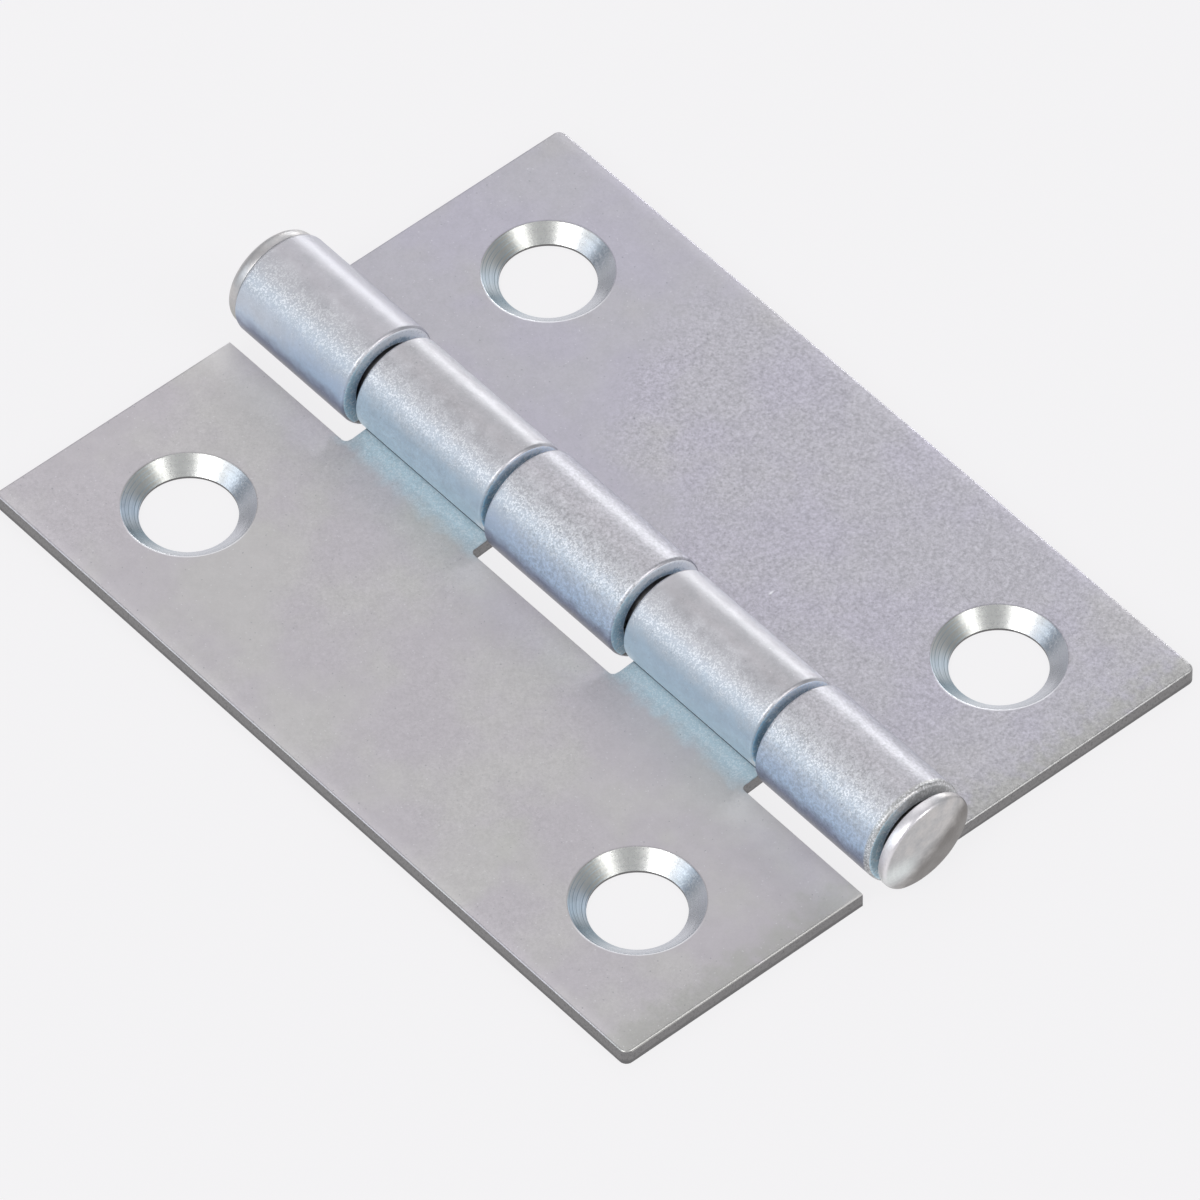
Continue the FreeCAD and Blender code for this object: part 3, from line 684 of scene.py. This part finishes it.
def slicedBar(tree, given):
    # Strip of sheet, sliced across where it will be rolled
    steps = given["Curl Steps"]
    values = {"Size": (1.0, 1.0, 1.0), "Vertices X": plus(tree, steps, 2), "Vertices Y": 2, "Vertices Z": 2}
    bar = shape(tree, "MeshCube", values)
    x, y, z = spotOf(tree)
    slicesIn = product(tree, plus(tree, x, 0.5), plus(tree, steps, 1))
    step = maths(tree, "ROUND", slicesIn)
    leftOver = minus(tree, 1.0, ratio(tree, step, steps))
    inCurl = minus(tree, given["Bend At"], product(tree, leftOver, given["Curl Length"]))
    isOuter = beyond(tree, step, plus(tree, steps, 0.5))
    across = chosen(tree, isOuter, inCurl, plus(tree, given["Leaf Width"], shearing["pastWidth"]))
    along = product(tree, y, plus(tree, given["Leaf Length"], shearing["pastLength"]))
    through = product(tree, plus(tree, z, 0.5), given["Sheet"])
    values = {"Geometry": bar, "Position": vectorOf(tree, across, along, through)}
    return shape(tree, "SetPosition", values)


def rowOf(tree, block, count, x, first, apart):
    start, step = vectorOf(tree, x, first, 0.0), vectorOf(tree, 0.0, apart, 0.0)
    row = shape(tree, "MeshLine", {"Count": count, "Start Location": start, "Offset": step})
    return shape(tree, "InstanceOnPoints", {"Points": row, "Instance": block})


def notchBlocks(tree, given, behind):
    # One notch for each knuckle of the other leaf, two knuckles apart
    pitch = given["Joint Pitch"]
    reach = plus(tree, given["Notch Edge"], behind)
    middle = ratio(tree, minus(tree, given["Notch Edge"], behind), 2.0)
    notch = uprightBlock(tree, reach, plus(tree, pitch, given["Joint Gap"]), given["Notch Radius"], middle)
    apart = product(tree, pitch, 2.0)
    first = product(tree, minus(tree, given["Notches"], 1), product(tree, apart, -0.5))
    return rowOf(tree, notch, given["Notches"], 0.0, first, apart)


def sinkCutters(tree, given):
    # A countersinking tool with uneven rings, at both screw holes
    rings, bore, slope = given["Turned Rings"], given["Bore Radius"], given["Sink Slope"]
    levels = plus(tree, rings, 1)
    values = {"Vertices": shearing["toolSides"], "Side Segments": levels, "Radius": 1.0, "Depth": 1.0}
    tool = nodeOf(tree, "GeometryNodeMeshCylinder", values).outputs["Mesh"]
    x, y, z = spotOf(tree)
    level = maths(tree, "ROUND", product(tree, plus(tree, z, 0.5), levels))
    isBottom = below(tree, level, 0.5)
    sinkDepth = ratio(tree, minus(tree, given["Sink Radius"], bore), slope)
    ringStep = ratio(tree, sinkDepth, minus(tree, rings, shearing["lastRing"]))
    rise = product(tree, minus(tree, level, 1), ringStep)
    seed = plus(tree, level, given["Ring Seed"])
    uneven = nodeOf(tree, "ShaderNodeTexWhiteNoise", {"W": seed}, noise_dimensions="1D").outputs["Value"]
    ripple = product(tree, minus(tree, uneven, 0.5), given["Ring Depth"])
    ripple = chosen(tree, below(tree, level, 1.5), ripple, 0.0)
    flare = plus(tree, scaled(tree, rise, slope, bore), ripple)
    radius = chosen(tree, isBottom, flare, bore)
    height = plus(tree, minus(tree, given["Sheet"], sinkDepth), rise)
    height = chosen(tree, isBottom, height, shearing["toolFoot"])
    place = vectorOf(tree, product(tree, x, radius), product(tree, y, radius), height)
    cutter = shape(tree, "SetPosition", {"Geometry": tool, "Position": place})
    first, apart = product(tree, given["Hole Row"], -1.0), product(tree, given["Hole Row"], 2.0)
    return rowOf(tree, cutter, 2, given["Hole Reach"], first, apart)


def rimAmounts(tree, given):
    # How much of each rim is rounded over, as a share of the knuckle rims
    x, y, z = spotOf(tree)
    angle = nodeOf(tree, "GeometryNodeInputMeshEdgeAngle").outputs["Unsigned Angle"]
    isSharp = beyond(tree, angle, given["Sharp Angle"])
    isFront = maths(tree, "COMPARE", z, given["Sheet"], shearing["levelMargin"])
    isBack = maths(tree, "COMPARE", z, 0.0, shearing["levelMargin"])
    arc = plus(tree, given["Notch Radius"], shearing["arcMargin"])
    isTab = below(tree, x, minus(tree, given["Notch Edge"], arc))
    isNotch = below(tree, x, plus(tree, given["Notch Edge"], shearing["notchMargin"]))
    holeReach = plus(tree, given["Sink Radius"], shearing["holeMargin"])
    isHole = below(tree, distanceFromHole(tree, x, y, given), holeReach)
    curled = minus(tree, given["Curl Length"], shearing["endMargin"])
    curlEnd = minus(tree, given["Bend At"], curled)
    isEnd = below(tree, x, curlEnd)
    front, back = given["Front Rim"], given["Back Rim"]
    frontRims, backRims = ("Notch Rim", "Bore Rim", "Sink Rim"), ("Notch Rim", "Knuckle Rim", "Back Rim")
    for place, frontRim, backRim in zip((isNotch, isTab, isHole), frontRims, backRims):
        front, back = chosen(tree, place, front, given[frontRim]), chosen(tree, place, back, given[backRim])
    amount = plus(tree, product(tree, front, isFront), product(tree, back, isBack))
    atEnd = product(tree, plus(tree, isFront, isBack), given["Back Rim"])
    amount = chosen(tree, isEnd, amount, atEnd)
    return product(tree, ratio(tree, amount, given["Knuckle Rim"]), isSharp)


def blankTree(sizes):
    tree, given, result = treeOf("leafBlank", sizes)
    bar = slicedBar(tree, given)
    behind = minus(tree, given["Curl Length"], given["Bend At"])
    behind = plus(tree, behind, shearing["pastCurl"])
    wide = plus(tree, given["Leaf Width"], behind)
    middle = ratio(tree, minus(tree, given["Leaf Width"], behind), 2.0)
    outline = uprightBlock(tree, wide, given["Leaf Length"], given["Corner Radius"], middle)
    settings = {"operation": "INTERSECT", "solver": "EXACT"}
    sheared = shape(tree, "MeshBoolean", {"Mesh 2": [bar, outline]}, **settings)
    tools = [notchBlocks(tree, given, behind), sinkCutters(tree, given)]
    tools = shape(tree, "JoinGeometry", {0: tools})
    tools = shape(tree, "RealizeInstances", {0: tools})
    settings = {"operation": "DIFFERENCE", "solver": "EXACT"}
    cut = shape(tree, "MeshBoolean", {"Mesh 1": sheared, "Mesh 2": tools}, **settings)
    values = {"Geometry": cut, "Name": "bevel_weight_edge", "Value": rimAmounts(tree, given)}
    weighed = shape(tree, "StoreNamedAttribute", values, data_type="FLOAT", domain="EDGE")
    values = {"Geometry": weighed, "Material": given["Face Finish"]}
    tree.links.new(shape(tree, "SetMaterial", values), result)
    return tree


def bentPlace(tree, given, place):
    # A flat point moves up the straight rise, or round the pin
    x, y, z = partsOf(tree, place)
    half = ratio(tree, given["Sheet"], 2.0)
    run = minus(tree, given["Bend At"], x)
    outward = minus(tree, z, half)
    sine, cosine = maths(tree, "SINE", given["Rise"]), maths(tree, "COSINE", given["Rise"])
    riseX = minus(tree, given["Bend At"], product(tree, run, cosine))
    riseX = scaled(tree, outward, sine, riseX)
    riseZ = scaled(tree, run, sine, scaled(tree, outward, cosine, half))
    curled = ratio(tree, minus(tree, run, given["Rise Length"]), given["Curl Radius"])
    angle = plus(tree, curled, given["Rise"])
    radius = minus(tree, given["Curl Radius"], outward)
    curlX = minus(tree, given["Axis Shift"], product(tree, radius, maths(tree, "SINE", angle)))
    curlZ = minus(tree, given["Axis Height"], product(tree, radius, maths(tree, "COSINE", angle)))
    isRise = beyond(tree, run, 0.0)
    isCurl = product(tree, isRise, beyond(tree, curled, 0.0))
    bent = chosen(tree, isRise, place, vectorOf(tree, riseX, y, riseZ), "VECTOR")
    return chosen(tree, isCurl, bent, vectorOf(tree, curlX, y, curlZ), "VECTOR")


def keepFaces(tree, geometry, name, wanted):
    values = {"Geometry": geometry, "Name": name, "Value": wanted}
    return shape(tree, "StoreNamedAttribute", values, data_type="BOOLEAN", domain="FACE")


def finishFaces(tree, geometry, name, material):
    kept = shape(tree, "InputNamedAttribute", {"Name": name}, data_type="BOOLEAN")
    values = {"Geometry": geometry, "Selection": kept, "Material": material}
    return shape(tree, "SetMaterial", values)


def rollTree(sizes):
    # The sheared and the countersunk faces are marked on the flat blank, which is then rolled
    tree, given, result = treeOf("leafRoll", sizes)
    place = shape(tree, "InputPosition")
    x, y, z = partsOf(tree, place)
    normal = shape(tree, "InputNormal")
    lean = size(tree, partsOf(tree, normal)[2])
    isHole = below(tree, distanceFromHole(tree, x, y, given), given["Sink Radius"])
    isCone = between(tree, lean, shearing["shearedLean"], shearing["conedLean"])
    isSheared = below(tree, lean, shearing["shearedLean"])
    marked = keepFaces(tree, given["Geometry"], "cutFace", isSheared)
    marked = keepFaces(tree, marked, "sinkFace", product(tree, isHole, isCone))
    values = {"Geometry": marked, "Position": bentPlace(tree, given, place)}
    rolled = shape(tree, "SetPosition", values)
    turn = vectorOf(tree, 0.0, 0.0, given["Turn"])
    turn = nodeOf(tree, "FunctionNodeEulerToRotation", {0: turn}).outputs[0]
    values = {"Geometry": rolled, "Rotation": turn, "Scale": (0.001, 0.001, 0.001)}
    placed = shape(tree, "Transform", values)
    values = {"Geometry": placed, "Shade Smooth": True}
    soft = shape(tree, "SetShadeSmooth", values, domain="FACE")
    angle = nodeOf(tree, "GeometryNodeInputMeshEdgeAngle").outputs["Unsigned Angle"]
    isSharp = beyond(tree, angle, given["Sharp Angle"])
    values = {"Geometry": soft, "Selection": isSharp, "Shade Smooth": False}
    crisp = shape(tree, "SetShadeSmooth", values, domain="EDGE")
    whole = shape(tree, "RealizeInstances", {0: crisp})
    whole = finishFaces(tree, whole, "cutFace", given["Cut Finish"])
    whole = finishFaces(tree, whole, "sinkFace", given["Sink Finish"])
    tree.links.new(whole, result)
    return tree


# Both leaves are sheared from the same strip, countersunk, then rolled round the pin.
leafSheet = {
    "Sheet": 1.0, "Leaf Width": 19.7, "Leaf Length": 50.8, "Corner Radius": 0.45,
    "Notch Edge": 3.5, "Notch Radius": 0.3, "Joint Pitch": 10.78, "Joint Gap": 0.6,
    "Hole Reach": hinge["holeReach"], "Hole Row": hinge["holeRow"],
    "Bore Radius": 2.65, "Sink Radius": 3.625, "Sink Slope": math.tan(math.radians(50)),
    "Turned Rings": 9, "Ring Depth": 0.016, "Ring Seed": 5, "Curl Steps": 84, "Sharp Angle": 0.55,
    "Front Rim": 0.14, "Notch Rim": 0.035, "Bore Rim": 0.08,
    "Sink Rim": 0.06, "Back Rim": 0.05, "Knuckle Rim": 0.22,
}
seamGap = 0.06
# The turning knuckles hang in their play: "shift" and "lift" move their middle off the pin's
leafKinds = {
    "three_knuckle_leaf": {
        "barrel": 3.15, "bend": 0.0, "shift": 0.0, "lift": hinge["axisHeight"], "notches": 2, "turn": 0.0,
        "body": "pinned_leaf",
    },
    "two_knuckle_leaf": {
        "barrel": 2.9, "bend": 3.0, "shift": -0.078, "lift": 3.194, "notches": 3, "turn": math.pi,
        "body": "turning_leaf",
    },
}


def rolledSizes(leaf, sheet):
    thick, height = sheet["Sheet"], leaf["lift"]
    middle = leaf["barrel"] - thick / 2
    rise, riseLength = 0.0, 0.0
    if leaf["bend"] > 0:
        away = leaf["bend"] - leaf["shift"]
        rise = math.atan2(height, away) - math.asin(leaf["barrel"] / math.hypot(away, height))
    bendAt = leaf["bend"] + thick / 2 * math.tan(rise / 2)
    if leaf["bend"] > 0:
        run = bendAt - leaf["shift"] + middle * math.sin(rise)
        riseLength = math.hypot(run, height - middle * math.cos(rise) - thick / 2)
    sweep = 1.5 * math.pi + math.asin((leaf["barrel"] - thick - seamGap) / leaf["barrel"])
    return {
        "Bend At": bendAt, "Rise": rise, "Rise Length": riseLength, "Curl Radius": middle,
        "Axis Shift": leaf["shift"], "Axis Height": height, "Curl Length": riseLength + middle * sweep,
        "Notches": leaf["notches"], "Turn": leaf["turn"],
    }


def plainMesh(piece):
    # Evenly shaded, the evaluated result becomes the piece's own mesh, with no modifier left
    even = piece.modifiers.new("evenShading", "WEIGHTED_NORMAL")
    even.keep_sharp = True
    bpy.context.view_layer.update()
    graph = bpy.context.evaluated_depsgraph_get()
    result = piece.evaluated_get(graph)
    solid = bpy.data.meshes.new_from_object(result, preserve_all_data_layers=True, depsgraph=graph)
    piece.modifiers.clear()
    piece.data = solid
    for name in ("cutFace", "sinkFace", "bevel_weight_edge"):
        if name in solid.attributes:
            solid.attributes.remove(solid.attributes[name])


def makeLeaf(name, leaf, trees, sizes):
    piece = addPiece("rolled_" + name, bpy.data.meshes.new(name + "Mesh"))
    given = {**sizes, **rolledSizes(leaf, leafSheet), **leafFinishes[name]}
    giveTree(piece, trees[0], given)
    rims = piece.modifiers.new("roundedRims", "BEVEL")
    rims.limit_method = "WEIGHT"
    rims.width = leafSheet["Knuckle Rim"]
    rims.segments = 3
    rims.use_clamp_overlap = False
    rims.loop_slide = False
    giveTree(piece, trees[1], given)
    plainMesh(piece)
    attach(piece, leaf["body"])
    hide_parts(name)
    print(name, "rolled:", len(piece.data.polygons), "faces")


firstLeaf = "three_knuckle_leaf"
treeSizes = {**leafSheet, **rolledSizes(leafKinds[firstLeaf], leafSheet), **leafFinishes[firstLeaf]}
leafTrees = (blankTree(treeSizes), rollTree(treeSizes))
for name, leaf in leafKinds.items():
    makeLeaf(name, leaf, leafTrees, treeSizes)


# The pin: a plain shank, a round head at +Y and, clear of the barrel's end, a staked head at -Y
pin = {
    "shank": 1.8, "head": 3.0, "sides": 128, "seatEdge": 0.06, "seatEase": 0.3,
    "shoulderSteps": 8, "domeSteps": 15, "sharpAngle": 0.6,
}
roundHead = {"seat": 25.42, "end": 26.65, "band": 0.35, "shoulder": 0.5}
stakedHead = {"seat": 25.98, "end": 26.7, "band": 0.2, "shoulder": 0.3}
# The hammer left the staked face a little askew and uneven
staking = {
    "lean": 0.085, "towards": (-0.485, 0.875), "dents": 0.05, "dentSize": 1.6, "seed": 4.0,
    "startsPast": 0.15, "growsOver": 0.25,
}


def headProfile(head, values):
    # (radius, distance from the middle), from the seat's edge to the crown
    rim, seat, band, shoulder = values["head"], head["seat"], head["band"], head["shoulder"]
    reach = rim - shoulder
    crown = head["end"] - seat - band
    dome = (reach ** 2 + crown ** 2 - shoulder ** 2) / (2 * (crown - shoulder))
    middle = head["end"] - dome
    lean = math.atan2(seat + band - middle, reach)
    edge, ease = values["seatEdge"], values["seatEase"]
    points = [(rim - edge, seat), (rim - edge * ease, seat + edge * ease), (rim, seat + edge)]
    for step in range(values["shoulderSteps"] + 1):
        angle = lean * step / values["shoulderSteps"]
        points.append((reach + shoulder * math.cos(angle), seat + band + shoulder * math.sin(angle)))
    for step in range(1, values["domeSteps"]):
        angle = lean + (math.pi / 2 - lean) * step / values["domeSteps"]
        points.append((dome * math.cos(angle), middle + dome * math.sin(angle)))
    points.append((0.0, head["end"]))
    return points


def staked(x, along, above):
    # Millimetres that a point of the staked face stands further out
    past = (-along - stakedHead["seat"] - staking["startsPast"]) / staking["growsOver"]
    out = staking["lean"] * (x * staking["towards"][0] + above * staking["towards"][1])
    place = Vector((x / staking["dentSize"], above / staking["dentSize"], staking["seed"]))
    return min(1.0, max(0.0, past)) * (out + staking["dents"] * noiseAt(place))


def turnPin(values):
    upper = [(values["shank"], roundHead["seat"])] + headProfile(roundHead, values)
    lower = [(values["shank"], stakedHead["seat"])] + headProfile(stakedHead, values)
    outline = [(radius, -along) for radius, along in reversed(lower)] + upper
    build = bmesh.new()
    rings = []
    for radius, along in outline:
        ring = []
        for side in range(values["sides"] if radius > 0.0 else 1):
            angle = 2 * math.pi * side / values["sides"]
            x, above = radius * math.cos(angle), radius * math.sin(angle)
            place = Vector((x, along - staked(x, along, above), hinge["axisHeight"] + above))
            ring.append(build.verts.new(place / 1000))
        rings.append(ring)
    for first, second in zip(rings, rings[1:]):
        for side in range(values["sides"]):
            after = (side + 1) % values["sides"]
            corners = [first[side % len(first)], first[after % len(first)]]
            corners += [second[after % len(second)], second[side % len(second)]]
            build.faces.new(list(dict.fromkeys(corners)))
    bmesh.ops.recalc_face_normals(build, faces=build.faces)
    for face in build.faces:
        face.smooth = True
    for edge in build.edges:
        edge.smooth = edge.calc_face_angle(0.0) < values["sharpAngle"]
    mesh = bpy.data.meshes.new("pinMesh")
    build.to_mesh(mesh)
    build.free()
    mesh.materials.append(pinPlating)
    piece = addPiece("turned_pin", mesh)
    plainMesh(piece)
    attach(piece, "pinned_leaf")
    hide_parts("hinge_pin")
    print("pin turned:", len(piece.data.polygons), "faces")


turnPin(pin)


# Floor and the light of a plain white studio
studio = {
    "floorSize": 3.0,
    "floorDrop": 0.00002,
    "floorColour": (0.90, 0.893, 0.905, 1.0),
    "floorLift": 0.93,
    "worldColour": (0.95, 0.96, 1.0, 1.0),
    "worldStrength": 0.56,
}
softboxes = (
    {"name": "overheadBox", "at": (0.48, 0.57, 0.87), "size": (0.9, 0.9),
     "power": 1.45, "colour": (1.0, 0.985, 0.98)},
    {"name": "leftBox", "at": (-0.75, -0.1, 0.7), "size": (0.35, 0.7),
     "power": 3.3, "colour": (1.0, 0.99, 0.98)},
    {"name": "rightBox", "at": (0.3, -0.82, 0.7), "size": (0.35, 0.7),
     "power": 3.3, "colour": (1.0, 0.99, 0.98)},
    {"name": "windowBox", "at": (-0.8, 0.42, 0.4), "size": (0.5, 0.4),
     "power": 0.9, "colour": (0.78, 0.9, 1.0)},
    {"name": "lowBackBox", "at": (0.9, 0.55, 0.22), "size": (0.5, 0.16),
     "power": 1.6, "colour": (1.0, 1.0, 1.0)},
)


def seenDirectly(tree):
    path = nodeOf(tree, "ShaderNodeLightPath").outputs
    return highest(tree, path["Is Glossy Ray"], path["Is Transmission Ray"], path["Is Camera Ray"])


def layFloor(values):
    half = values["floorSize"] / 2
    low = -values["floorDrop"]
    mesh = bpy.data.meshes.new("floorMesh")
    corners = [(-half, -half, low), (half, -half, low), (half, half, low), (-half, half, low)]
    mesh.from_pydata(corners, [], [(0, 1, 2, 3)])
    floor = addPiece("floor", mesh)
    material, tree = newFinish("floorPaper")
    colour = values["floorColour"]
    paper = nodeOf(tree, "ShaderNodeBsdfDiffuse", {"Color": colour}).outputs[0]
    lit = nodeOf(tree, "ShaderNodeEmission", {"Color": colour, "Strength": 1.0}).outputs[0]
    share = product(tree, seenDirectly(tree), values["floorLift"])
    both = nodeOf(tree, "ShaderNodeMixShader", {0: share, 1: paper, 2: lit}).outputs[0]
    nodeOf(tree, "ShaderNodeOutputMaterial", {"Surface": both})
    mesh.materials.append(material)


def lightWorld(values):
    world = bpy.data.worlds.new("studioWorld")
    bpy.context.scene.world = world
    world.use_nodes = True
    tree = world.node_tree
    tree.nodes.clear()
    light = {"Color": values["worldColour"], "Strength": values["worldStrength"]}
    glow = nodeOf(tree, "ShaderNodeBackground", light)
    nodeOf(tree, "ShaderNodeOutputWorld", {"Surface": glow.outputs[0]})


def hangSoftbox(values):
    lampData = bpy.data.lights.new(values["name"], "AREA")
    lampData.shape = "RECTANGLE"
    lampData.size, lampData.size_y = values["size"]
    lampData.energy = values["power"]
    lampData.color = values["colour"]
    lamp = addPiece(values["name"], lampData)
    lamp.location = values["at"]
    lamp.rotation_euler = Vector(values["at"]).to_track_quat("Z", "Y").to_euler()


layFloor(studio)
lightWorld(studio)
for softbox in softboxes:
    hangSoftbox(softbox)
bpy.context.scene.view_settings.view_transform = "Standard"
print("studio lit")
